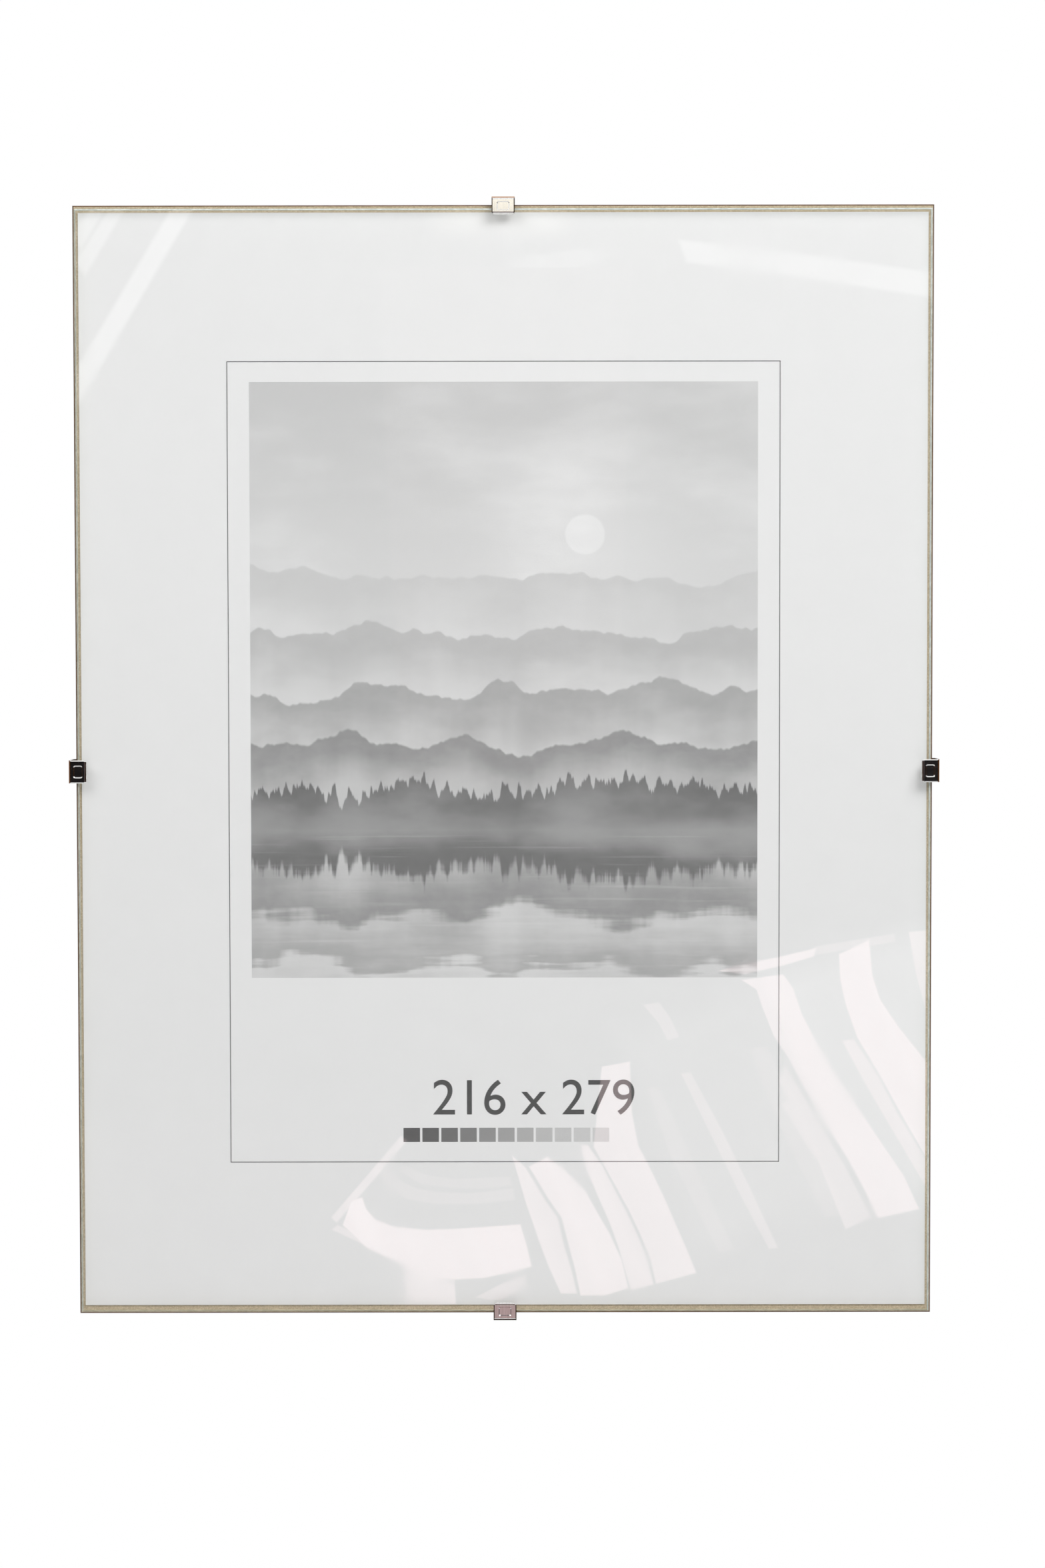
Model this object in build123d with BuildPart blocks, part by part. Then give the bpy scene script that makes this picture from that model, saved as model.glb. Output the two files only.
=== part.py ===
from build123d import *
import os

# Clip frame for a letter-size sheet: a glass pane, a printed insert and a hardboard back, with no
# moulding round them, held together by four sprung steel clips. Millimetres, +Z up, the glass faces
# -Y, and the origin is the middle of the eye in the top clip, from which the frame hangs on its wall.

# Glass pane
pane_width = 215.9
pane_height = 279.4
pane_thickness = 2.0
pane_arris = 0.35

# Printed insert, cut a little smaller than the glass and seated towards its top edge
insert_margin = 0.9
insert_lift = 0.3
insert_thickness = 0.25

# Hardboard back, cut a little larger than the glass and standing a little above it
board_side_overhang = 0.6
board_end_overhang = 0.9
board_lift = 0.15
board_thickness = 3.0
board_ease = 0.3

# Air between two leaves of the stack
leaf_gap = 0.05

# Spring clip: steel strip with a lip on the glass, a wall past the edge, and an arched rear arm
strip = 0.5
lip_width = 5.8
lip_reach = 2.4
lip_height = 0.5
nose_length = 0.25
nose_gap = 0.1
nose_bend = 0.5
nose_corner = 0.9
lip_rim = 0.25
wall_gap = 1.7
front_bend = 0.5
rear_bend = 0.75
shoulder_gap = 1.0
side_clip_drop = 1.85
top_clip_rise = 0.7

# Crown of the arm, which stands off the board so that a nail's head fits behind its eye
crown_gap = 2.5
crown_length = 10.0
crown_width = 10.0
crown_bend = 4.0
flank_bend = 2.0
eye_inset = 8.0
eye_radius = 2.25

# Tooth at the arm's end, turned forward into a slot in the board
tooth_inset = 21.0
tooth_width = 5.5
tooth_depth = 2.0
tooth_neck = 2.0
heel_gap = 0.3
heel_bend = 0.75
slot_side_gap = 0.4
slot_outer_gap = 0.8
slot_inner_gap = 0.3
slot_corner = 0.3

# Stiffening pad pressed into the lip
pad_width = 3.2
pad_length = 2.3
pad_inset = 1.1
pad_corner = 0.5
pad_depth = 0.2
pad_slope = 50.0

# Depths behind the front of the glass, and the places that follow from them
insert_front = pane_thickness + leaf_gap
board_front = insert_front + insert_thickness + leaf_gap
board_back = board_front + board_thickness
crown_middle = board_back + crown_gap + strip / 2
front_y = -crown_middle
centre_z = eye_inset - top_clip_rise - pane_height / 2

os.makedirs("parts", exist_ok=True)

front = Plane(origin=(0, front_y, centre_z), x_dir=(1, 0, 0), z_dir=(0, -1, 0))


def edge_plane(across, up, outwards, along):
    """A clip's place on the front of the glass: local X outwards, Y to the viewer and Z along the edge."""
    return Plane(front.from_local_coords((across, up, 0)), x_dir=outwards, z_dir=along)


# The top clip sits a little further out than the others, and the side clips a little below the middle
sides = {
    "top": edge_plane(0, pane_height / 2 + top_clip_rise, outwards=(0, 0, 1), along=(1, 0, 0)),
    "right": edge_plane(pane_width / 2, -side_clip_drop, outwards=(1, 0, 0), along=(0, 0, -1)),
    "bottom": edge_plane(0, -pane_height / 2, outwards=(0, 0, -1), along=(-1, 0, 0)),
    "left": edge_plane(-pane_width / 2, -side_clip_drop, outwards=(-1, 0, 0), along=(0, 0, 1)),
}


def plan(side, depth):
    """The plane parallel to the glass at a depth behind its front, with local X outwards."""
    return Plane(side.from_local_coords((0, -depth, 0)), x_dir=side.x_dir, z_dir=side.y_dir)


def save(piece, name):
    piece.label = name
    export_step(piece, f"parts/{name}.step")


# Glass pane with its edges seamed all round
with BuildPart() as glass_pane:
    with BuildSketch(front):
        Rectangle(pane_width, pane_height)
    extrude(amount=-pane_thickness)
    chamfer(glass_pane.faces().filter_by(Axis.Y).edges(), length=pane_arris)
save(glass_pane.part, "glass_pane")

# Insert sheet
with BuildPart() as insert_sheet:
    with BuildSketch(front.offset(-insert_front)):
        with Locations((0, insert_lift)):
            Rectangle(pane_width - 2 * insert_margin, pane_height - 2 * insert_margin - 2 * insert_lift)
    extrude(amount=-insert_thickness)
save(insert_sheet.part, "insert_sheet")

# Hardboard back with eased edges and a punched slot for each clip's tooth
slot_length = slot_inner_gap + strip + slot_outer_gap
slot_middle = -tooth_inset + (slot_outer_gap - slot_inner_gap) / 2
with BuildPart() as backing_board:
    with BuildSketch(front.offset(-board_front)):
        with Locations((0, board_lift)):
            Rectangle(pane_width + 2 * board_side_overhang, pane_height + 2 * board_end_overhang)
    extrude(amount=-board_thickness)
    chamfer(backing_board.faces().filter_by(Axis.Y).edges(), length=board_ease)
    for side in sides.values():
        with BuildSketch(plan(side, board_back)):
            with Locations((slot_middle, 0)):
                RectangleRounded(slot_length, tooth_width + 2 * slot_side_gap, slot_corner)
        extrude(amount=board_thickness, mode=Mode.SUBTRACT)
save(backing_board.part, "backing_board")

# Bends of the clip's strip, along its middle, as distance out from the edge and height over the glass
nose = (-lip_reach + strip / 2, nose_gap + strip / 2)
lip_start = (nose[0] + nose_length, lip_height + strip / 2)
shoulder = (wall_gap + strip / 2, lip_height + strip / 2)
rear_corner = (wall_gap + strip / 2, -board_back - shoulder_gap - strip / 2)
crown_outer = (-eye_inset + crown_length / 2, -crown_middle)
crown_inner = (-eye_inset - crown_length / 2, -crown_middle)
heel = (-tooth_inset, -board_back - heel_gap)
tooth_tip = (-tooth_inset, -board_back + tooth_depth - strip / 2)
strip_path = [nose, lip_start, shoulder, rear_corner, crown_outer, crown_inner, heel, tooth_tip]
strip_bends = [nose_bend, front_bend, rear_bend, crown_bend, crown_bend, heel_bend]

# Flank of the arm in plan: the neck at the wall, the wide crown, and the taper to the tooth
wall_outer = wall_gap + strip
arm_end = -tooth_inset - strip
flank_path = [
    (wall_outer, lip_width / 2),
    (0, lip_width / 2),
    (crown_outer[0], crown_width / 2),
    (crown_inner[0], crown_width / 2),
    (-tooth_inset + tooth_neck, tooth_width / 2),
    (arm_end, tooth_width / 2),
]
pad_middle = -lip_reach + pad_inset + pad_length / 2


def build_clip(side):
    """One clip on the edge that the plane names, its nose on the glass and its tooth in the board's slot."""
    with BuildPart() as clip:
        with BuildSketch(side):
            with BuildLine():
                FilletPolyline(*strip_path, radius=strip_bends)
                offset(amount=strip / 2, side=Side.BOTH)
            make_face()
        extrude(amount=crown_width / 2, both=True)

        # The outline that the strip is blanked to: the lip in front of the wall's middle, the arm behind it
        blank_middle = plan(side, board_back / 2)
        with BuildSketch(blank_middle) as lip_blank:
            with Locations(((wall_outer - lip_reach) / 2, 0)):
                Rectangle(wall_outer + lip_reach, lip_width)
            fillet(lip_blank.vertices().group_by(Axis.X)[0], radius=nose_corner)
        lip_front = board_back / 2 + lip_height + strip
        blank = extrude(amount=lip_front, mode=Mode.PRIVATE)
        lip_face = blank.faces().sort_by(Axis(side.origin, side.y_dir))[-1]
        blank = blank.chamfer(lip_rim, None, lip_face.edges())
        with BuildSketch(blank_middle):
            with BuildLine():
                flank = FilletPolyline(*flank_path, radius=flank_bend)
                Line((wall_outer, 0), flank @ 0)
                Line(flank @ 1, (arm_end, 0))
                mirror(about=Plane.XZ)
            make_face()
        blank += extrude(amount=board_back / 2 - crown_middle - strip, mode=Mode.PRIVATE)
        add(blank, mode=Mode.INTERSECT)

        # Eye that the frame hangs from
        with BuildSketch(plan(side, crown_middle)):
            with Locations((-eye_inset, 0)):
                Circle(eye_radius)
        extrude(amount=strip, both=True, mode=Mode.SUBTRACT)

        # Pad sunk into the lip's face and standing out as far below it
        for height, sunk in ((lip_height + strip, Mode.SUBTRACT), (lip_height, Mode.ADD)):
            with BuildSketch(plan(side, -height)):
                with Locations((pad_middle, 0)):
                    RectangleRounded(pad_length, pad_width, pad_corner)
            extrude(amount=-pad_depth, taper=pad_slope, mode=sunk)
    return clip.part


for edge, side in sides.items():
    save(build_clip(side), f"clip_{edge}")
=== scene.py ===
import math

import bmesh
import bpy
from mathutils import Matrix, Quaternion, Vector

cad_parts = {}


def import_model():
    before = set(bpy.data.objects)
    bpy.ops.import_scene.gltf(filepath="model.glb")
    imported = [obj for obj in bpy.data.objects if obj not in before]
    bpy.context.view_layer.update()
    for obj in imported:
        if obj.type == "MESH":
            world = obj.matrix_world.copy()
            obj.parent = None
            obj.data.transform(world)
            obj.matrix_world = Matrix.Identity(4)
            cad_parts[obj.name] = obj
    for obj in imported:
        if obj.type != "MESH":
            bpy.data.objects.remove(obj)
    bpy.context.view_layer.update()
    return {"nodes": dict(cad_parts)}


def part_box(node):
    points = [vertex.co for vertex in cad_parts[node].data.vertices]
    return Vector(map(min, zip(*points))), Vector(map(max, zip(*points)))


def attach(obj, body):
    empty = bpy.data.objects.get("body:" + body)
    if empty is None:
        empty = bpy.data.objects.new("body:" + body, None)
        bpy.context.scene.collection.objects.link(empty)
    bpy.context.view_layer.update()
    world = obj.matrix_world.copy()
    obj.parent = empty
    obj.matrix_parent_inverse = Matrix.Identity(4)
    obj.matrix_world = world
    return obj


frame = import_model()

# Clip frame: glass, a printed insert and a hardboard back held by four sprung steel clips. Metres, +Z up,
# the glass faces -Y. The solids are the CAD's own; this script gives them their finish and adds the print.
nodes = frame["nodes"]

MM = 0.001
pane_low, pane_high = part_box("glass_pane")
middle = (pane_low + pane_high) / 2
glass_y = pane_low.y
paper_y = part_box("insert_sheet")[0].y

# Photograph's frame in pixels, and the camera that fits it
PHOTO_WIDTH = 1568
PHOTO_HEIGHT = 2352
CAMERA_AT = Vector((5.3, -1000.0, -85.5)) * MM
CAMERA_AIM = Vector((4.65, -8.1, -137.5)) * MM
CAMERA_ROLL = math.radians(-0.086)
CAMERA_LENS = 90.11
SENSOR = 36.0

# Refractive index of the glass, height of the floor under the frame, and the soft boxes' sides
GLASS_IOR = 1.52
FLOOR_Z = -0.62
LAMP_SIZE = (0.9, 0.6)

# Print on the insert, in millimetres from the middle of the glass
BORDER_SIZE = (139.7, 203.2)
BORDER_LINE = 0.2
PICTURE_SIZE = (128.4, 150.8)
PICTURE_UP = 21.0
NUMBERS_TEXT = "216 x 279"
NUMBERS_HEIGHT = 9.0
NUMBERS_PLACE = (7.4, -85.0)
WEDGE_SIZE = (53.0, 3.6)
WEDGE_STEPS = 11
WEDGE_GAP = 0.6
WEDGE_PLACE = (0.4, -94.6)
PRINT_RAISED = 0.02
PRINT_SUNK = 0.01


class Shade:
    """A material, with short ways to add nodes to it. Places are the part's own frame in millimetres."""

    def __init__(self, name):
        self.material = bpy.data.materials.new(name)
        self.material.use_nodes = True
        self.tree = self.material.node_tree
        self.tree.nodes.clear()

    def node(self, kind, inputs=(), **settings):
        made = self.tree.nodes.new("ShaderNode" + kind)
        for key, value in settings.items():
            setattr(made, key, value)
        for key, value in dict(inputs).items():
            self.put(made.inputs[key], value)
        return made

    def put(self, socket, value):
        if isinstance(value, bpy.types.NodeSocket):
            self.tree.links.new(value, socket)
        else:
            socket.default_value = value

    def math(self, operation, first, second=0.0, third=0.0):
        return self.node("Math", {0: first, 1: second, 2: third}, operation=operation).outputs[0]

    def fade(self, value, start, end, low=0.0, high=1.0):
        """The value eased from low at start to high at end."""
        limits = {"Value": value, "From Min": start, "From Max": end, "To Min": low, "To Max": high}
        return self.node("MapRange", limits, interpolation_type="SMOOTHSTEP").outputs["Result"]

    def blend(self, share, first, second):
        return self.node("Mix", {0: share, 6: first, 7: second}, data_type="RGBA").outputs[2]

    def grey(self, value):
        return self.node("CombineColor", {"Red": value, "Green": value, "Blue": value}).outputs["Color"]

    def place(self, stretch=(1.0, 1.0, 1.0)):
        coordinates = self.node("TexCoord").outputs["Object"]
        scale = [share / MM for share in stretch]
        return self.node("VectorMath", {0: coordinates, 1: scale}, operation="MULTIPLY").outputs[0]

    def axes(self, place):
        split = self.node("SeparateXYZ", {0: place})
        return split.outputs["X"], split.outputs["Y"], split.outputs["Z"]

    def noise(self, place, scale, detail=2.0, roughness=0.5):
        inputs = {"Vector": place, "Scale": scale, "Detail": detail, "Roughness": roughness}
        return self.node("TexNoise", inputs).outputs["Fac"]

    def bump(self, height, strength, depth):
        inputs = {"Height": height, "Strength": strength, "Distance": depth * MM}
        return self.node("Bump", inputs).outputs["Normal"]

    def principled(self, inputs):
        return self.node("BsdfPrincipled", inputs).outputs["BSDF"]

    def mix(self, share, first, second):
        return self.node("MixShader", {0: share, 1: first, 2: second}).outputs[0]

    def finish(self, surface):
        self.node("OutputMaterial", {"Surface": surface})
        return self.material


def clear_glass():
    """Polished faces of the pane, with faint smears. Lamps and diffuse rays pass straight through."""
    shade = Shade("clear_glass")
    smears = shade.noise(shade.place((0.05, 0.05, 0.02)), 1.0, 4.0)
    glass = shade.principled({
        "Base Color": (0.988, 0.992, 0.989, 1.0),
        "Roughness": shade.fade(smears, 0.45, 0.75, 0.0, 0.05),
        "IOR": GLASS_IOR,
        "Transmission Weight": 1.0,
    })
    path = shade.node("LightPath").outputs
    open_way = shade.node("BsdfTransparent").outputs[0]
    past_lamps = shade.mix(path["Is Shadow Ray"], glass, open_way)
    return shade.finish(shade.mix(path["Is Diffuse Ray"], past_lamps, open_way))


def ground_glass():
    """Seamed edges of the pane: frosted, with painted shade that makes them darker and tan below and partly
    at the left. Most lamp light passes.
    """
    lit_side = (0.35, 0.0, 0.937)
    shaded_to, lit_from = -0.75, 0.2
    lamp_share = 0.8
    shade = Shade("ground_glass_edge")
    place = shade.place()
    grains = shade.noise(place, 6.0, 3.0)
    chips = shade.noise(place, 0.7, 2.0)
    chipped = shade.fade(chips, 0.35, 0.7)
    # Painted shade: edges turned away from the upper right take the darker, tan tone, the others the pale
    # one
    lit_tone = shade.blend(chipped, (0.52, 0.57, 0.53, 1.0), (0.72, 0.77, 0.73, 1.0))
    shaded_tone = shade.blend(chipped, (0.39, 0.36, 0.25, 1.0), (0.52, 0.475, 0.34, 1.0))

    # The normal turns round where an edge is seen from inside the glass, and is turned back here
    geometry = shade.node("NewGeometry").outputs
    outward = shade.math("MULTIPLY_ADD", geometry["Backfacing"], -2.0, 1.0)
    dot = shade.node("VectorMath", {0: geometry["Normal"], 1: lit_side}, operation="DOT_PRODUCT")
    facing = shade.math("MULTIPLY", dot.outputs["Value"], outward)
    ground = shade.principled({
        "Base Color": shade.blend(shade.fade(facing, shaded_to, lit_from), shaded_tone, lit_tone),
        "Roughness": shade.fade(grains, 0.3, 0.7, 0.28, 0.5),
        "IOR": GLASS_IOR,
        "Normal": shade.bump(grains, 0.35, 0.03),
    })
    open_way = shade.node("BsdfTransparent").outputs[0]
    passing = shade.math("MULTIPLY", shade.node("LightPath").outputs["Is Shadow Ray"], lamp_share)
    return shade.finish(shade.mix(passing, ground, open_way))


def insert_paper():
    """Uncoated white print paper with a faint cloudiness and fibres."""
    white = 0.835
    cloudiness = 0.02
    fibre_contrast = 0.012
    shade = Shade("insert_paper")
    place = shade.place()
    clouds = shade.noise(place, 0.12, 3.0)
    fibres = shade.noise(shade.place((1.0, 1.0, 3.5)), 1.4, 4.0, 0.6)
    tone = shade.math("MULTIPLY_ADD", clouds, cloudiness, white)
    tone = shade.math("MULTIPLY_ADD", fibres, fibre_contrast, tone)
    return shade.finish(shade.principled({
        "Base Color": shade.grey(tone),
        "Roughness": shade.fade(fibres, 0.3, 0.7, 0.55, 0.68),
        "Normal": shade.bump(fibres, 0.15, 0.02),
    }))


def hardboard():
    """Hardboard: a smooth tan front, dark fibrous edges deepened with painted shade, and a back that bears
    the press's wire screen.
    """
    screen_pitch = 1.7
    screen_depth = 0.6
    face_from, face_full = 0.85, 0.97
    shade = Shade("hardboard")
    place = shade.place()
    across, _, up = shade.axes(place)
    facing = shade.axes(shade.node("NewGeometry").outputs["Normal"])[1]
    fibres = shade.noise(place, 1.1, 5.0, 0.65)
    flecks = shade.noise(place, 3.2, 3.0, 0.6)
    blotches = shade.noise(place, 0.035, 3.0)
    layers = shade.noise(shade.place((0.4, 5.0, 0.4)), 1.0, 4.0, 0.6)

    front = shade.blend(shade.fade(flecks, 0.35, 0.7), (0.46, 0.375, 0.25, 1.0), (0.65, 0.55, 0.39, 1.0))
    layered = shade.fade(layers, 0.35, 0.65)
    # Side edges: the dark colour of the board's fibre, made darker still as painted shade
    edge = shade.blend(layered, (0.075, 0.036, 0.019, 1.0), (0.15, 0.078, 0.043, 1.0))
    turn = 2.0 * math.pi / screen_pitch
    wires = [shade.math("SINE", shade.math("MULTIPLY", line, turn)) for line in (across, up)]
    screen = shade.math("MULTIPLY", *wires)
    back = shade.blend(shade.fade(fibres, 0.3, 0.7), (0.150, 0.078, 0.038, 1.0), (0.255, 0.145, 0.075, 1.0))
    back = shade.blend(shade.fade(blotches, 0.4, 0.7, 0.0, 0.35), back, (0.30, 0.185, 0.105, 1.0))
    back = shade.blend(shade.fade(screen, 0.1, 0.9, 0.0, 0.4), back, (0.115, 0.058, 0.028, 1.0))

    is_front = shade.fade(facing, -face_from, -face_full)
    is_back = shade.fade(facing, face_from, face_full)
    colour = shade.blend(is_back, shade.blend(is_front, edge, front), back)
    screen_height = shade.math("MULTIPLY", shade.math("MULTIPLY", screen, is_back), screen_depth)
    height = shade.math("SUBTRACT", fibres, screen_height)
    return shade.finish(shade.principled({
        "Base Color": colour,
        "Roughness": shade.fade(fibres, 0.3, 0.7, 0.52, 0.75),
        "Specular IOR Level": 0.2,
        "Normal": shade.bump(height, 0.5, 0.12),
    }))


def spring_steel(name, across, outwards, outer):
    """Nickelled strip, brushed along its length; round its outer bend it turns bronze, a warm tint deepened
    as painted shade.

    across is the axis across the strip, outwards the direction away from the glass, and outer how far the
    clip reaches that way in millimetres.
    """
    bend_from, bend_full = 0.42, 0.2
    bend_depth = (-7.2, -8.2)
    bend_swing = 0.2
    bronze_and_shade = (0.50, 0.225, 0.09, 1.0)
    shade = Shade(name)
    place = shade.place()
    stretch = [0.15, 0.15, 0.15]
    stretch[across] = 7.0
    brushing = shade.noise(shade.place(stretch), 1.0, 3.0, 0.6)
    bend_noise = shade.noise(place, 1.6, 4.0, 0.6)
    # Round the front of the outer bend: a warm bronze tint of the metal, made darker as painted shade on the
    # bend
    reach = shade.node("VectorMath", {0: place, 1: outwards}, operation="DOT_PRODUCT").outputs["Value"]
    inside = shade.math("SUBTRACT", outer - bend_swing / 2, reach)
    inside = shade.math("MULTIPLY_ADD", bend_noise, bend_swing, inside)
    tint_and_shade = shade.math("MULTIPLY", shade.fade(inside, bend_from, bend_full),
                      shade.fade(shade.axes(place)[1], *bend_depth))
    metal = shade.blend(shade.fade(brushing, 0.3, 0.7), (0.74, 0.73, 0.71, 1.0), (0.93, 0.925, 0.91, 1.0))
    return shade.finish(shade.principled({
        "Base Color": shade.blend(tint_and_shade, metal, bronze_and_shade),
        "Metallic": 1.0,
        "Roughness": shade.fade(brushing, 0.25, 0.75, 0.05, 0.12),
        "Normal": shade.bump(brushing, 0.05, 0.02),
    }))


def print_ink():
    """Black ink with the slight unevenness of a laser print."""
    shade = Shade("print_ink")
    toner = shade.noise(shade.place(), 5.0, 3.0)
    return shade.finish(shade.principled({
        "Base Color": shade.grey(shade.fade(toner, 0.3, 0.7, 0.018, 0.045)),
        "Roughness": shade.fade(toner, 0.3, 0.7, 0.35, 0.5),
    }))


def wedge_ink():
    """Grey patches that lighten by equal steps from left to right."""
    dark = 0.06
    light = 0.62
    shade = Shade("print_wedge_ink")
    place = shade.place()
    x = shade.axes(place)[0]
    step = shade.math("FLOOR", shade.math("MULTIPLY", x, WEDGE_STEPS / WEDGE_SIZE[0]))
    tone = shade.fade(step, 0.0, WEDGE_STEPS - 1.0, dark, light)
    dots = shade.noise(place, 6.0, 2.0)
    tone = shade.math("MULTIPLY", tone, shade.fade(dots, 0.3, 0.7, 0.93, 1.07))
    return shade.finish(shade.principled({"Base Color": shade.grey(tone), "Roughness": 0.5}))


# Hills behind the lake from far to near: height over the water, swing of the crest line, crests across
# the picture, tone at the crest and tone in the mist at the foot
HILLS = [
    (0.43, 0.080, 2.1, 0.70, 0.86),
    (0.33, 0.075, 2.8, 0.58, 0.82),
    (0.235, 0.065, 3.7, 0.44, 0.76),
    (0.145, 0.050, 5.2, 0.30, 0.66),
]


def picture_ink():
    """A generic grey photograph: hills in mist round a still lake, under a pale sun."""
    water_line = 0.25
    sun = (0.66, 0.745)
    sun_radius = 0.042
    sun_edge = 0.006
    ink_black, ink_range = 0.04, 0.83
    width, height = PICTURE_SIZE
    shade = Shade("print_picture_ink")
    place = shade.place((1.0 / width, 1.0, 1.0 / height))
    u, _, v = shade.axes(place)

    def pattern(across, up, detail, roughness=0.5):
        """Noise with so many swells across the picture and up it."""
        return shade.noise(shade.place((across / width, 1.0, up / height)), 1.0, detail, roughness)

    def crest(level, swing, count, seed, detail):
        """A line of crests round a height over the water, with so many across the picture."""
        along = shade.math("MULTIPLY_ADD", u, count, seed)
        inputs = {"W": along, "Scale": 1.0, "Detail": detail, "Roughness": 0.55}
        wave = shade.node("TexNoise", inputs, noise_dimensions="1D").outputs["Fac"]
        return shade.math("MULTIPLY_ADD", wave, 2.0 * swing, level - swing)

    # The water mirrors the height over its line, shaken by ripples that grow towards the viewer
    over = shade.math("SUBTRACT", v, water_line)
    is_water = shade.fade(over, 0.001, -0.001)
    ripples = pattern(5.0, 75.0, 3.0)
    shake = shade.math("MULTIPLY", shade.math("SUBTRACT", ripples, 0.5), shade.math("MULTIPLY", over, 0.35))
    rise = shade.math("ABSOLUTE", shade.math("MULTIPLY_ADD", shake, is_water, over))

    clouds = pattern(2.2, 6.5, 5.0, 0.55)
    tone = shade.fade(rise, 0.2, 0.8, 0.86, 0.66)
    tone = shade.math("MULTIPLY_ADD", shade.fade(clouds, 0.42, 0.72), 0.14, tone)
    aside = shade.math("SUBTRACT", u, sun[0])
    above = shade.math("MULTIPLY", shade.math("SUBTRACT", rise, sun[1] - water_line), height / width)
    squares = [shade.math("POWER", shade.math("ABSOLUTE", way), 2.0) for way in (aside, above)]
    from_sun = shade.math("SQRT", shade.math("ADD", *squares))
    tone = shade.math("ADD", tone, shade.fade(from_sun, 0.30, 0.0, 0.0, 0.10))
    tone = shade.math("ADD", tone, shade.fade(from_sun, sun_radius, sun_radius - sun_edge, 0.0, 0.10))

    # Woods on the slopes and drifts in the mist, and edges that blur in the water
    woods = shade.math("SUBTRACT", pattern(26.0, 44.0, 6.0, 0.65), 0.5)
    drift = shade.fade(pattern(3.4, 8.0, 4.0), 0.3, 0.7, -0.03, 0.03)
    blur = shade.math("MULTIPLY", is_water, 0.008)

    def lay(tone, top, ridge, soft, crest_tone, foot_tone, mist_depth):
        """The tone with a hill laid over it, dark at its ridge and lost in the mist at its foot."""
        edge = shade.math("ADD", blur, soft)
        covered = shade.fade(shade.math("SUBTRACT", top, rise), shade.math("MULTIPLY", edge, -1.0), edge)
        depth = shade.math("SUBTRACT", ridge, rise)
        hill = shade.fade(shade.math("ADD", depth, drift), 0.0, mist_depth, crest_tone, foot_tone)
        patch = shade.math("MULTIPLY", woods, 0.5 * (foot_tone - crest_tone))
        thinned = shade.fade(depth, 0.0, mist_depth, 1.0, 0.15)
        hill = shade.math("MULTIPLY_ADD", patch, thinned, hill)
        return shade.math("ADD", shade.math("MULTIPLY", shade.math("SUBTRACT", hill, tone), covered), tone)

    for number, (level, swing, count, crest_tone, foot_tone) in enumerate(HILLS):
        top = crest(level, swing, count, seed=7.3 * number + 1.7, detail=5.0)
        tone = lay(tone, top, top, 0.0025, crest_tone, foot_tone, mist_depth=0.13)

    # Firs on the near shore: a slow line of ground with narrow tips standing on it
    shore = crest(level=0.042, swing=0.03, count=3.1, seed=40.2, detail=3.0)
    tips = crest(level=0.018, swing=0.036, count=62.0, seed=3.4, detail=3.0)
    stand = crest(level=0.010, swing=0.026, count=9.0, seed=12.6, detail=2.0)
    firs = shade.math("ADD", shade.math("ADD", shore, stand), tips)
    ridge = shade.math("ADD", shore, 0.03)
    tone = lay(tone, firs, ridge, soft=0.003, crest_tone=0.10, foot_tone=0.34, mist_depth=0.09)

    # Glints on the water, the grain of the print, and the span from its black to its white
    glints = pattern(3.0, 140.0, 2.0)
    sheen = shade.math("MULTIPLY", shade.fade(glints, 0.55, 0.75, 0.02, 0.16), is_water)
    tone = shade.math("ADD", tone, shade.math("MULTIPLY", sheen, shade.math("SUBTRACT", 0.9, tone)))
    grain = shade.noise(shade.place(), 4.0, 2.0)
    tone = shade.math("MULTIPLY", tone, shade.fade(grain, 0.2, 0.8, 0.94, 1.04))
    tone = shade.math("MULTIPLY_ADD", tone, ink_range, ink_black)
    return shade.finish(shade.principled({"Base Color": shade.grey(tone), "Roughness": 0.55}))


def link(name, mesh, material=None):
    piece = bpy.data.objects.new(name, mesh)
    bpy.context.scene.collection.objects.link(piece)
    if material:
        mesh.materials.append(material)
    return piece


def leaf(form, corners):
    """Adds to a bmesh a closed leaf of ink on the paper's face, with (x, z) corners in millimetres."""
    front, back = [[form.verts.new(Vector((x, depth, z)) * MM) for x, z in corners]
                   for depth in (-PRINT_RAISED, PRINT_SUNK)]
    form.faces.new(front)
    form.faces.new(reversed(back))
    count = len(corners)
    for here in range(count):
        after = (here + 1) % count
        form.faces.new((front[after], front[here], back[here], back[after]))


def box_corners(left, bottom, width, height):
    right, top = left + width, bottom + height
    return [(left, bottom), (right, bottom), (right, top), (left, top)]


def printed(name, form, material, corner):
    """One printed piece on the insert, its origin at a corner in millimetres from the glass's middle."""
    mesh = bpy.data.meshes.new(name)
    bmesh.ops.recalc_face_normals(form, faces=form.faces)
    form.to_mesh(mesh)
    form.free()
    piece = link(name, mesh, material)
    piece.location = (middle.x + corner[0] * MM, paper_y, middle.z + corner[1] * MM)
    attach(piece, "stack")


def make_border(ink):
    """A thin ruled line round the picture and the numbers, mitred at its corners."""
    width, height = BORDER_SIZE
    outer = box_corners(0.0, 0.0, width, height)
    inner = box_corners(BORDER_LINE, BORDER_LINE, width - 2 * BORDER_LINE, height - 2 * BORDER_LINE)
    form = bmesh.new()
    rings = []
    for depth in (-PRINT_RAISED, PRINT_SUNK):
        for loop in (outer, inner):
            rings.append([form.verts.new(Vector((x, depth, z)) * MM) for x, z in loop])
    front_out, front_in, back_out, back_in = rings
    loops = [front_out, front_in, back_in, back_out]
    for here in range(4):
        after = (here + 1) % 4
        for a, b in zip(loops, loops[1:] + loops[:1]):
            form.faces.new((a[here], a[after], b[after], b[here]))
    printed("print_border", form, ink, (-width / 2, -height / 2))


def make_picture():
    width, height = PICTURE_SIZE
    form = bmesh.new()
    leaf(form, box_corners(0.0, 0.0, width, height))
    printed("print_picture", form, picture_ink(), (-width / 2, PICTURE_UP - height / 2))


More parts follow.
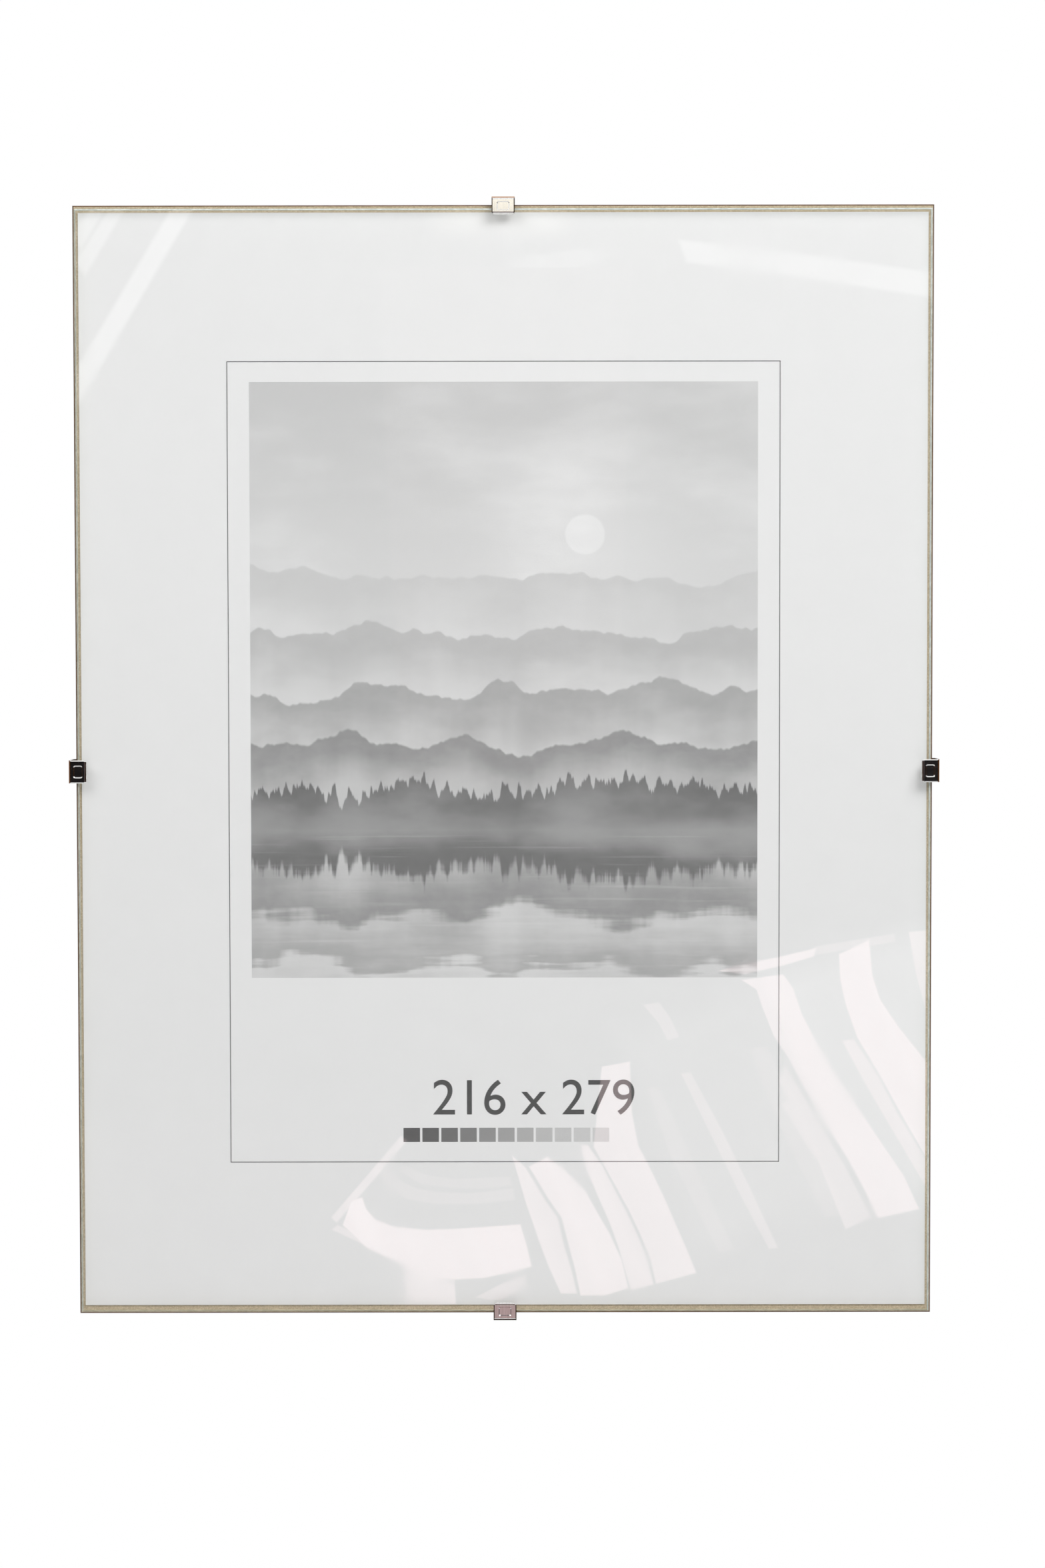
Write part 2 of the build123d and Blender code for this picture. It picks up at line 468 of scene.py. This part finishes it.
def make_wedge():
    width, height = WEDGE_SIZE
    step = width / WEDGE_STEPS
    form = bmesh.new()
    for number in range(WEDGE_STEPS):
        leaf(form, box_corners(number * step + WEDGE_GAP / 2, 0.0, step - WEDGE_GAP, height))
    printed("print_wedge", form, wedge_ink(), (WEDGE_PLACE[0] - width / 2, WEDGE_PLACE[1] - height / 2))


def make_numbers(ink):
    """The insert's size in plain figures, filled and given the print's thickness."""
    joined = 1e-5
    text = bpy.data.curves.new("numbers", "FONT")
    text.body = NUMBERS_TEXT
    text.resolution_u = 8
    text.extrude = 0.5
    source = link("numbers_source", text)
    bpy.context.view_layer.update()
    mesh = bpy.data.meshes.new_from_object(source.evaluated_get(bpy.context.evaluated_depsgraph_get()))
    bpy.data.objects.remove(source)
    form = bmesh.new()
    form.from_mesh(mesh)
    bpy.data.meshes.remove(mesh)
    bmesh.ops.remove_doubles(form, verts=form.verts, dist=joined)
    low = Vector([min(vert.co[axis] for vert in form.verts) for axis in range(3)])
    high = Vector([max(vert.co[axis] for vert in form.verts) for axis in range(3)])
    scale = NUMBERS_HEIGHT / (high.y - low.y)
    width = (high.x - low.x) * scale
    thickness = PRINT_RAISED + PRINT_SUNK
    for vert in form.verts:
        x, z, depth = vert.co - low
        vert.co = Vector((x * scale, PRINT_SUNK - depth * thickness / (high.z - low.z), z * scale)) * MM
    corner = (NUMBERS_PLACE[0] - width / 2, NUMBERS_PLACE[1] - NUMBERS_HEIGHT / 2)
    printed("print_numbers", form, ink, corner)


def dress(name, *materials):
    """Gives a CAD node these materials in place of the ones it came with, and returns its mesh."""
    mesh = nodes[name].data
    mesh.materials.clear()
    for material in materials:
        mesh.materials.append(material)
    return mesh


# Finishes of the CAD's own solids: the pane's flat faces are clear, and its seamed edges are ground
pane = dress("glass_pane", clear_glass(), ground_glass())
FLAT_FACE = 0.99
for face in pane.polygons:
    face.material_index = 0 if abs(face.normal.y) > FLAT_FACE else 1
dress("insert_sheet", insert_paper())
dress("backing_board", hardboard())

# Each clip's axis across its strip, and the direction in which it stands out from the glass
CLIPS = {
    "top": (0, Vector((0, 0, 1))),
    "right": (2, Vector((1, 0, 0))),
    "bottom": (0, Vector((0, 0, -1))),
    "left": (2, Vector((-1, 0, 0))),
}
for side, (across, outwards) in CLIPS.items():
    outer = max(corner.dot(outwards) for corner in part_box(f"clip_{side}")) / MM
    dress(f"clip_{side}", spring_steel(f"spring_steel_{side}", across, outwards, outer))

black_ink = print_ink()
make_border(black_ink)
make_picture()
make_numbers(black_ink)
make_wedge()

# Camera
camera = bpy.data.objects.new("camera", bpy.data.cameras.new("camera"))
bpy.context.scene.collection.objects.link(camera)
bpy.context.scene.camera = camera
camera.data.lens = CAMERA_LENS
camera.data.sensor_fit = "VERTICAL"
camera.data.sensor_height = SENSOR
camera.location = CAMERA_AT
camera.rotation_mode = "QUATERNION"
aim = (CAMERA_AIM - CAMERA_AT).to_track_quat("-Z", "Y")
camera.rotation_quaternion = aim @ Quaternion((0.0, 0.0, 1.0), CAMERA_ROLL)
bpy.context.view_layer.update()


def mirrored(pixel, plane_y):
    """Where the camera's ray through a pixel of the photograph meets plane_y after the glass mirrors it."""
    focal = CAMERA_LENS / SENSOR * PHOTO_HEIGHT
    ray = Vector((pixel[0] - PHOTO_WIDTH / 2, PHOTO_HEIGHT / 2 - pixel[1], -focal))
    ray.rotate(camera.rotation_quaternion)
    on_glass = CAMERA_AT + ray * ((glass_y - CAMERA_AT.y) / ray.y)
    ray.y = -ray.y
    return on_glass + ray * ((plane_y - glass_y) / ray.y)


# Room that the glass and the clips mirror: cards round the frame that only reflections see
CARD_Y = -1.28
ROOM_Y = -1.34
REAR_Y = 0.6
ROOM_SIDE = 1.0
DUSK = (0.20, 0.15, 0.155, 1.0)
WARM_DARK = (0.03, 0.015, 0.008, 1.0)


def feathered(shade, colour, strength=1.0):
    """Light that fades out where the mesh's share falls to nothing."""
    share = shade.node("Attribute", attribute_name="share").outputs["Fac"]
    light = shade.node("Emission", {"Color": colour, "Strength": strength}).outputs[0]
    clear = shade.node("BsdfTransparent").outputs[0]
    return shade.finish(shade.mix(share, clear, light))


def card(name, material, points, faces, shares):
    """A surface that only reflections see, with each point's share of the light."""
    mesh = bpy.data.meshes.new(name)
    mesh.from_pydata(points, [], faces)
    mesh.attributes.new("share", "FLOAT", "POINT").data.foreach_set("value", shares)
    made = link(name, mesh, material)
    made.visible_camera = False
    made.visible_diffuse = False
    made.visible_transmission = False
    made.visible_shadow = False


def plain_card(name, material, corners):
    """A four-cornered card that is whole up to its edges."""
    card(name, material, corners, [range(4)], [1.0] * 4)


def wall_card(name, material, plane_y, high):
    """A card across the room from one side to the other, and from the floor up."""
    corners = [(-ROOM_SIDE, FLOOR_Z), (ROOM_SIDE, FLOOR_Z), (ROOM_SIDE, high), (-ROOM_SIDE, high)]
    plain_card(name, material, [(x, plane_y, z) for x, z in corners])


def front_room():
    """The dim room before the frame: dark at the glass's height, cream light high up and dusk low down."""
    top = 0.3
    dusk_from, dusk_full = -380.0, -430.0
    glow_middle = -7.0
    glow_aside = (50.0, 24.0)
    glow_height = (110.0, 126.0)
    dark = (0.012, 0.011, 0.011, 1.0)
    cream = (1.55, 1.47, 1.30, 1.0)
    shade = Shade("front_room")
    across, _, height = shade.axes(shade.place())
    aside = shade.math("ABSOLUTE", shade.math("SUBTRACT", across, glow_middle))
    colour = shade.blend(shade.fade(height, dusk_from, dusk_full), dark, DUSK)
    glow = shade.math("MULTIPLY", shade.fade(height, *glow_height), shade.fade(aside, *glow_aside))
    wall_card("front_room", feathered(shade, shade.blend(glow, colour, cream)), ROOM_Y, top)


def rear_room():
    """Half-light behind the frame, paler upwards, which the clips' rear arms mirror."""
    top = 0.6
    dim, pale = 0.30, 1.0
    dim_to, pale_from = -520.0, 300.0
    shade = Shade("rear_room")
    place = shade.place()
    patches = shade.noise(place, 0.006, 2.0)
    level = shade.fade(shade.axes(place)[2], dim_to, pale_from, dim, pale)
    level = shade.math("MULTIPLY", level, shade.fade(patches, 0.3, 0.7, 0.75, 1.2))
    wall_card("rear_room", feathered(shade, shade.grey(level)), REAR_Y, top)


def flag_material(name, low, high):
    """Patches between two colours."""
    shade = Shade(name)
    patches = shade.noise(shade.place(), 0.004, 2.0)
    return feathered(shade, shade.blend(patches, low, high))


def side_flag_material():
    """Dark beside the glass, and dusky below it."""
    dusk_from, dusk_full = -240.0, -400.0
    shade = Shade("side_flag")
    height = shade.axes(shade.place())[2]
    return feathered(shade, shade.blend(shade.fade(height, dusk_from, dusk_full), WARM_DARK, DUSK))


def rear_flag_material():
    """Dark beside the frame, and paler towards the rear."""
    pale_from, pale_full = 20.0, 320.0
    pale = (0.62, 0.61, 0.60, 1.0)
    shade = Shade("rear_flag")
    depth = shade.axes(shade.place())[1]
    return feathered(shade, shade.blend(shade.fade(depth, pale_from, pale_full), WARM_DARK, pale))


def side_panels():
    """Surfaces along both sides of the room, which the clips' sloping faces mirror."""
    soft_top = 0.08
    join_y = -0.1
    low = -0.6

    # Each panel's name, material, depths, height of its top, and share of its light there
    panels = [
        ("rear", rear_flag_material(), (join_y, REAR_Y), 0.35, 1.0),
        ("side", side_flag_material(), (ROOM_Y, join_y), 0.0, 0.0),
    ]
    for place, material, depths, high, top_share in panels:
        levels = [(low, 1.0), (high - soft_top, 1.0), (high, top_share)]
        shares = [share for level, share in levels for depth in depths]
        for side in (-1, 1):
            points = [(side * ROOM_SIDE, depth, level) for level, share in levels for depth in depths]
            card(f"flag_{place}_{side}", material, points, [(0, 1, 3, 2), (2, 3, 5, 4)], shares)


def bottom_clip_flags():
    """Small cards for the bottom clip to mirror: above its nose, below its bend and before its face."""
    above_half = 0.035
    above_near, above_far = (-0.104, 0.0), (-0.285, -0.153)
    below_half, below_front, below_z = 0.0032, -0.0105, -0.2765
    before_y = -0.0125
    before_left, before_right = -0.0034, 0.0033
    before_low, before_high = -0.2755, -0.2699
    dark = flag_material("dark_flag", (0.012, 0.007, 0.004, 1.0), (0.05, 0.022, 0.011, 1.0))
    dusk = flag_material("dusk_flag", (0.16, 0.12, 0.125, 1.0), (0.24, 0.18, 0.185, 1.0))
    mauve = flag_material("mauve_flag", (0.38, 0.275, 0.275, 1.0), (0.58, 0.44, 0.44, 1.0))

    above = [(-above_half, *above_far), (above_half, *above_far)]
    above += [(above_half, *above_near), (-above_half, *above_near)]
    plain_card("flag_above", dusk, above)
    below = [(-below_half, below_front), (below_half, below_front), (below_half, 0.0), (-below_half, 0.0)]
    plain_card("flag_below", dark, [(x, y, below_z) for x, y in below])
    width, height = before_right - before_left, before_high - before_low
    before = box_corners(before_left, before_low, width, height)
    plain_card("flag_before", mauve, [(x, before_y, z) for x, z in before])


def daylight():
    """Nearly white light from a window."""
    strength = 2.4
    return feathered(Shade("daylight"), (1.0, 0.985, 0.98, 1.0), strength)


def curtain_light():
    """Pinkish light in soft folds that run down to the right."""
    fold_slope = 0.45
    fold_width = 16.0
    dim, bright = 4.1, 4.9
    shade = Shade("curtain_light")
    across, _, height = shade.axes(shade.place())
    along = shade.math("DIVIDE", shade.math("MULTIPLY_ADD", height, fold_slope, across), fold_width)
    inputs = {"W": along, "Scale": 1.0, "Detail": 2.0, "Roughness": 0.5}
    folds = shade.node("TexNoise", inputs, noise_dimensions="1D").outputs["Fac"]
    return feathered(shade, (1.0, 0.76, 0.78, 1.0), shade.fade(folds, 0.35, 0.65, dim, bright))


# Outlines of the reflections in the glass, in pixels of the photograph, each with its strength: veils and
# beams of daylight, and a bright curtain with a lampshade before it
VEILS = {
    "right_veil": (0.5, [(1215, 1490), (1385, 1440), (1385, 1750), (1320, 1700)]),
    "left_veil": (0.2, [(980, 1580), (1180, 1520), (1240, 1760), (1060, 1830)]),
}
BEAMS = {
    "corner_beam": (0.8, [(264, 312), (284, 312), (118, 598), (114, 566)]),
    "corner_beam_near": (0.6, [(142, 312), (152, 312), (122, 362), (116, 350)]),
    "corner_beam_far": (0.6, [(171, 312), (181, 312), (127, 404), (119, 394)]),
    "upper_beam": (0.58, [
        (1026, 366), (1200, 386), (1396, 414), (1396, 440), (1200, 410), (1034, 388),
    ]),
    "flare": (0.3, [
        (755, 418), (770, 395), (800, 385), (812, 392), (806, 410), (785, 425), (765, 430),
    ]),
    "flare_tail": (0.3, [(812, 388), (870, 378), (918, 382), (870, 396), (815, 402)]),
}
CURTAIN = {
    "top_line": (0.8, [
        (1083, 1456), (1113, 1449), (1172, 1437), (1222, 1425), (1219, 1433), (1175, 1446), (1118, 1459),
    ]),
    "top_line_end": (0.3, [(1224, 1422), (1340, 1403), (1341, 1411), (1225, 1430)]),
    "small_fold": (0.35, [
        (969, 1509), (988, 1506), (1003, 1527), (1016, 1554), (1003, 1558), (990, 1533),
    ]),
    "far_right": (0.6, [(1366, 1400), (1388, 1398), (1388, 1508), (1376, 1458)]),
    "right_band": (0.95, [
        (1261, 1433), (1302, 1413), (1307, 1464), (1319, 1501), (1346, 1541), (1388, 1594), (1388, 1730),
        (1352, 1666), (1320, 1608), (1288, 1555), (1271, 1506), (1263, 1469),
    ]),
    "right_fold": (0.62, [
        (1267, 1563), (1280, 1561), (1315, 1614), (1346, 1673), (1388, 1742), (1388, 1775), (1358, 1723),
        (1323, 1664), (1295, 1615),
    ]),
    "wide_band": (0.82, [
        (1118, 1471), (1174, 1464), (1188, 1483), (1201, 1521), (1226, 1570), (1253, 1615), (1288, 1667),
        (1323, 1719), (1354, 1764), (1376, 1812), (1318, 1825), (1302, 1789), (1274, 1737), (1243, 1688),
        (1212, 1636), (1184, 1584), (1163, 1553), (1145, 1508), (1137, 1483),
    ]),
    "wide_fold": (0.48, [
        (1172, 1622), (1178, 1603), (1207, 1651), (1235, 1699), (1266, 1751), (1304, 1825), (1270, 1841),
        (1257, 1809), (1236, 1757), (1219, 1712), (1194, 1667),
    ]),
    "bright_line": (0.4, [
        (1176, 1657), (1180, 1655), (1204, 1691), (1228, 1732), (1224, 1735), (1199, 1695),
    ]),
    "pale_fold": (0.15, [
        (1128, 1575), (1149, 1572), (1176, 1623), (1218, 1718), (1266, 1819), (1240, 1824), (1197, 1740),
        (1155, 1649),
    ]),
    "thin_band": (0.4, [
        (1025, 1612), (1035, 1611), (1080, 1694), (1123, 1782), (1164, 1870), (1155, 1871), (1112, 1790),
        (1072, 1708),
    ]),
    "faint_band": (0.15, [
        (974, 1633), (988, 1633), (1027, 1718), (1070, 1814), (1099, 1872), (1080, 1877), (1043, 1803),
        (1006, 1729),
    ]),
    "middle_band": (0.8, [
        (905, 1602), (943, 1595), (946, 1670), (956, 1720), (974, 1754), (996, 1800), (1014, 1842),
        (1029, 1876), (1042, 1908), (986, 1923), (978, 1888), (963, 1851), (947, 1817), (925, 1777),
        (909, 1748), (893, 1720), (898, 1670),
    ]),
    "next_band": (0.72, [
        (874, 1720), (881, 1720), (902, 1750), (917, 1779), (938, 1819), (954, 1852), (969, 1889),
        (978, 1925), (949, 1933), (945, 1922), (931, 1873), (918, 1836), (899, 1793), (881, 1751),
    ]),
    "low_band": (0.9, [
        (797, 1751), (821, 1738), (843, 1754), (876, 1787), (895, 1821), (913, 1852), (931, 1891),
        (940, 1931), (907, 1941), (873, 1941), (865, 1903), (855, 1866), (845, 1826), (826, 1799),
    ]),
    "last_band": (0.72, [
        (771, 1738), (787, 1753), (816, 1801), (835, 1828), (844, 1868), (855, 1904), (863, 1938),
        (843, 1938), (826, 1901), (810, 1858), (791, 1803),
    ]),
    "shade_rim": (1.0, [
        (517, 1837), (529, 1803), (542, 1799), (548, 1816), (563, 1832), (593, 1843), (640, 1847),
        (693, 1845), (779, 1839), (788, 1868), (795, 1898), (767, 1906), (725, 1915), (682, 1917),
        (645, 1913), (603, 1894), (550, 1868),
    ]),
    "shade_arc": (0.2, [
        (582, 1753), (597, 1772), (624, 1785), (661, 1791), (709, 1792), (768, 1785), (770, 1798),
        (709, 1804), (653, 1804), (609, 1796), (581, 1779), (570, 1755),
    ]),
    "shade_arc_above": (0.15, [
        (609, 1752), (640, 1765), (682, 1771), (763, 1767), (765, 1776), (725, 1781), (680, 1780),
        (632, 1774), (600, 1754),
    ]),
    "shade_side": (0.6, [(500, 1826), (505, 1831), (608, 1711), (602, 1707)]),
    "shade_foot": (0.5, [(502, 1844), (507, 1840), (680, 1922), (680, 1928)]),
    "sill_left": (0.75, [(609, 1900), (629, 1908), (680, 1930), (682, 1954), (612, 1954)]),
    "sill_right": (0.5, [
        (719, 1945), (757, 1926), (786, 1916), (788, 1929), (775, 1937), (746, 1950),
    ]),
}

# Width in pixels of the soft rim outside each kind of outline, how much as wide it is inside, and the cosine
# beyond which a sharp corner is drawn out no further
CURTAIN_FEATHER = 3.5
BEAM_FEATHER = 9.0
VEIL_FEATHER = 70.0
INNER_FEATHER = 0.25
SHARPEST = 0.4


def outset(corners, distance):
    """An outline's corners moved outwards by a distance, whichever way round it runs."""
    area = sum(a[0] * b[1] - b[0] * a[1] for a, b in zip(corners, corners[1:] + corners[:1]))
    turn = math.copysign(distance, area)
    moved = []
    for before, here, after in zip(corners[-1:] + corners[:-1], corners, corners[1:] + corners[:1]):
        runs = [(Vector(b) - Vector(a)).normalized() for a, b in ((before, here), (here, after))]
        sides = [Vector((run.y, -run.x)) for run in runs]
        lean = (sides[0] + sides[1]).normalized()
        reach = turn / max(lean.dot(sides[0]), SHARPEST)
        moved.append((here[0] + lean.x * reach, here[1] + lean.y * reach))
    return moved


def streak_card(name, material, plane_y, strength, corners, feather):
    """A reflection with this outline in the photograph, which fades out over so many pixels."""
    rings = [outset(corners, -feather * INNER_FEATHER), outset(corners, feather)]
    points = [mirrored(pixel, plane_y) for ring in rings for pixel in ring]
    count = len(corners)
    faces = [range(count)]
    for here in range(count):
        after = (here + 1) % count
        faces.append((here, after, count + after, count + here))
    card(name, material, points, faces, [strength] * count + [0.0] * count)


front_room()
rear_room()
side_panels()
bottom_clip_flags()
window = daylight()
REFLECTIONS = [
    (CURTAIN, curtain_light(), CURTAIN_FEATHER),
    (BEAMS, window, BEAM_FEATHER),
    (VEILS, window, VEIL_FEATHER),
]
streak_y = CARD_Y
for streaks, material, feather in REFLECTIONS:
    for streak, (strength, corners) in streaks.items():
        streak_card(streak, material, streak_y, strength, corners, feather)
        streak_y -= MM


def floor():
    """A pale floor that keeps the shadow under the frame and goes over to white further off."""
    reach = 6.0
    white_from, white_full = 750.0, 1300.0
    shade = Shade("pale_floor")
    place = shade.place()
    distance = shade.node("VectorMath", {0: place}, operation="LENGTH").outputs["Value"]
    specks = shade.noise(place, 0.02, 3.0)
    tone = shade.fade(specks, 0.3, 0.7, 0.86, 0.88)
    ground = shade.principled({"Base Color": shade.grey(tone), "Roughness": 0.8})
    white = shade.node("Emission").outputs[0]
    path = shade.node("LightPath").outputs
    seen = shade.math("MAXIMUM", path["Is Glossy Ray"], path["Is Transmission Ray"])
    seen = shade.math("MAXIMUM", path["Is Camera Ray"], seen)
    share = shade.math("MULTIPLY", seen, shade.fade(distance, white_from, white_full))
    mesh = bpy.data.meshes.new("floor")
    corners = [(-reach, -reach), (reach, -reach), (reach, reach), (-reach, reach)]
    mesh.from_pydata([(x, y, FLOOR_Z) for x, y in corners], [], [range(4)])
    link("floor", mesh, shade.finish(shade.mix(share, ground, white)))


def world():
    """White for what the camera, metal and glass see, and soft grey light for the rest."""
    ambient = 0.20
    made = bpy.data.worlds.new("world")
    bpy.context.scene.world = made
    made.use_nodes = True
    tree = made.node_tree
    tree.nodes.clear()
    path = tree.nodes.new("ShaderNodeLightPath").outputs
    seen = tree.nodes.new("ShaderNodeMath")
    either = tree.nodes.new("ShaderNodeMath")
    strength = tree.nodes.new("ShaderNodeMapRange")
    background = tree.nodes.new("ShaderNodeBackground")
    output = tree.nodes.new("ShaderNodeOutputWorld")
    seen.operation = either.operation = "MAXIMUM"
    strength.inputs["To Min"].default_value = ambient
    background.inputs["Color"].default_value = (1.0, 1.0, 1.0, 1.0)
    tree.links.new(path["Is Glossy Ray"], either.inputs[0])
    tree.links.new(path["Is Transmission Ray"], either.inputs[1])
    tree.links.new(path["Is Camera Ray"], seen.inputs[0])
    tree.links.new(either.outputs[0], seen.inputs[1])
    tree.links.new(seen.outputs[0], strength.inputs["Value"])
    tree.links.new(strength.outputs["Result"], background.inputs["Strength"])
    tree.links.new(background.outputs[0], output.inputs["Surface"])


def lamp(name, place, power):
    """A soft box that faces the middle of the glass."""
    light = bpy.data.lights.new(name, "AREA")
    light.shape = "RECTANGLE"
    light.size, light.size_y = LAMP_SIZE
    light.energy = power
    made = bpy.data.objects.new(name, light)
    made.location = place
    made.rotation_euler = (middle - Vector(place)).to_track_quat("-Z", "Y").to_euler()
    bpy.context.scene.collection.objects.link(made)


floor()
world()
lamp("right", (0.6, -0.8, 0.75), power=12.2)
lamp("left", (-0.7, -0.8, 0.7), power=6.3)
lamp("rear", (0.5, 1.1, 0.6), power=9.0)
bpy.context.scene.view_settings.view_transform = "Standard"
